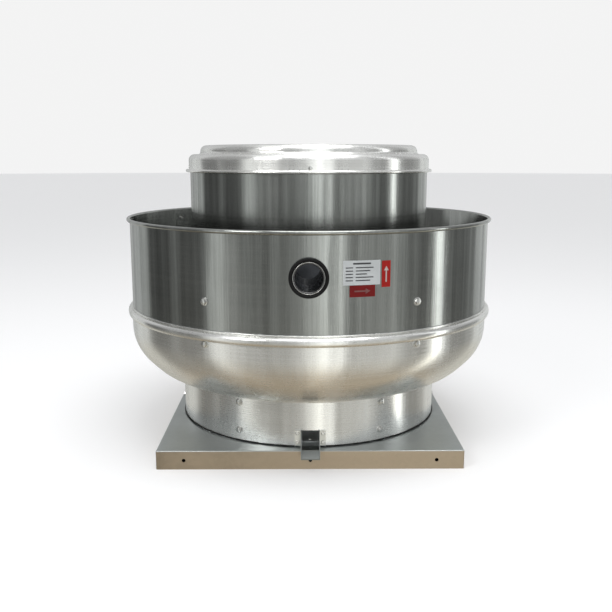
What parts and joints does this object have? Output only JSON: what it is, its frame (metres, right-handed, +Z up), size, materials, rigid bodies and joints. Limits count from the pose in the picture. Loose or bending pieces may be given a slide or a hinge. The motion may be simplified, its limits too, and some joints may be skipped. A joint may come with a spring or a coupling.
{
  "type": "kitchen exhaust hood fan",
  "caption": "Up-blast centrifugal roof exhaust fan with spun aluminium bowl, windband and cap on a square curb cap.",
  "frame": {"origin": "middle of the curb cap's bottom edge", "axes": "+Z up along the fan's axis, -Y to the front with the grease spout and conduit opening, +X to the right seen from the front"},
  "size_m": [0.6548, 0.6548, 0.5136],
  "materials": {
    "galvanised": "galvanised sheet, faint spangle",
    "spun_aluminium": "spun, fine rings",
    "rolled_aluminium": "bright mill finish, rolled",
    "wheel_aluminium": "mill finish",
    "support_steel": "zinc plated",
    "fastener": "zinc plated",
    "rubber": "matt black",
    "sealant": "soft black bead",
    "motor_paint": "satin dark grey",
    "core_steel": "bare steel",
    "label_white": "printed film",
    "label_red": "printed film",
    "capacitor_case": "moulded",
    "switch_plastic": "moulded",
    "conduit_grey": "sleeved conduit"
  },
  "bodies": {
    "fan_base": {"airflow_label": "label_red", "base_sealant": "sealant", "bearing_outer_rings": "core_steel", "bowl_neck": "spun_aluminium", "bowl_shell": "spun_aluminium", "bracket_screws": "fastener", "capacitor": "capacitor_case", "capacitor_strap": "galvanised", "conduit_grommet": "rubber", "conduit_locknuts": "fastener", "conduit_tube": "rolled_aluminium", "curb_cap": "galvanised", "deck_rivets": "fastener", "grease_spout": "spun_aluminium", "inlet_venturi": "galvanised", "isolator_bolts": "fastener", "motor_can": "motor_paint", "motor_compartment_shell": "rolled_aluminium", "motor_deck": "rolled_aluminium", "motor_lead_conduit": "conduit_grey", "motor_lower_bell": "motor_paint", "motor_mount_plate": "galvanised", "motor_spacers": "fastener", "motor_stator": "core_steel", "motor_through_bolts": "fastener", "motor_upper_bell": "motor_paint", "neck_bolts": "fastener", "rating_label": "label_white", "rotation_label": "label_red", "rubber_isolators": "rubber", "seam_rivets": "fastener", "shaft_seal": "rubber", "shell_screws": "fastener", "spout_rivets": "fastener", "support_legs": "support_steel", "switch_block": "switch_plastic", "switch_box": "galvanised", "switch_bracket": "galvanised", "switch_cover": "galvanised", "switch_cover_screws": "fastener", "venturi_rivets": "fastener", "windband": "rolled_aluminium", "windband_bolts": "fastener", "windband_brackets": "support_steel", "windband_splice_strap": "rolled_aluminium"},
    "fan_rotor": {"motor_shaft": "core_steel", "motor_rotor": "core_steel", "bearing_inner_rings": "core_steel", "bearing_ball_cages": "core_steel", "wheel_hub": "wheel_aluminium", "hub_bolts": "fastener", "hub_set_screws": "fastener", "wheel_backplate": "wheel_aluminium", "wheel_shroud": "wheel_aluminium", "wheel_blades": "wheel_aluminium", "shaft_slinger": "rubber"},
    "removable_cap": {"top_cap": "spun_aluminium", "cap_screws": "fastener", "cap_clip_nuts": "fastener"},
    "toggle": {"switch_toggle": "switch_plastic"}
  },
  "joints": [
    {"name": "rotor_spin", "type": "hinge", "parent": "fan_base", "child": "fan_rotor", "pos_m": [0, 0, 0.32], "axis": [0, 0, 1], "continuous": true},
    {"name": "cap_lift", "type": "slide", "parent": "fan_base", "child": "removable_cap", "axis": [0, 0, 1], "range_m": [0, 0.2]},
    {"name": "switch_throw", "type": "hinge", "parent": "fan_base", "child": "toggle", "pos_m": [0.173, 0, 0.436], "axis": [1, 0, 0], "range_deg": [-44, 0]}
  ]
}
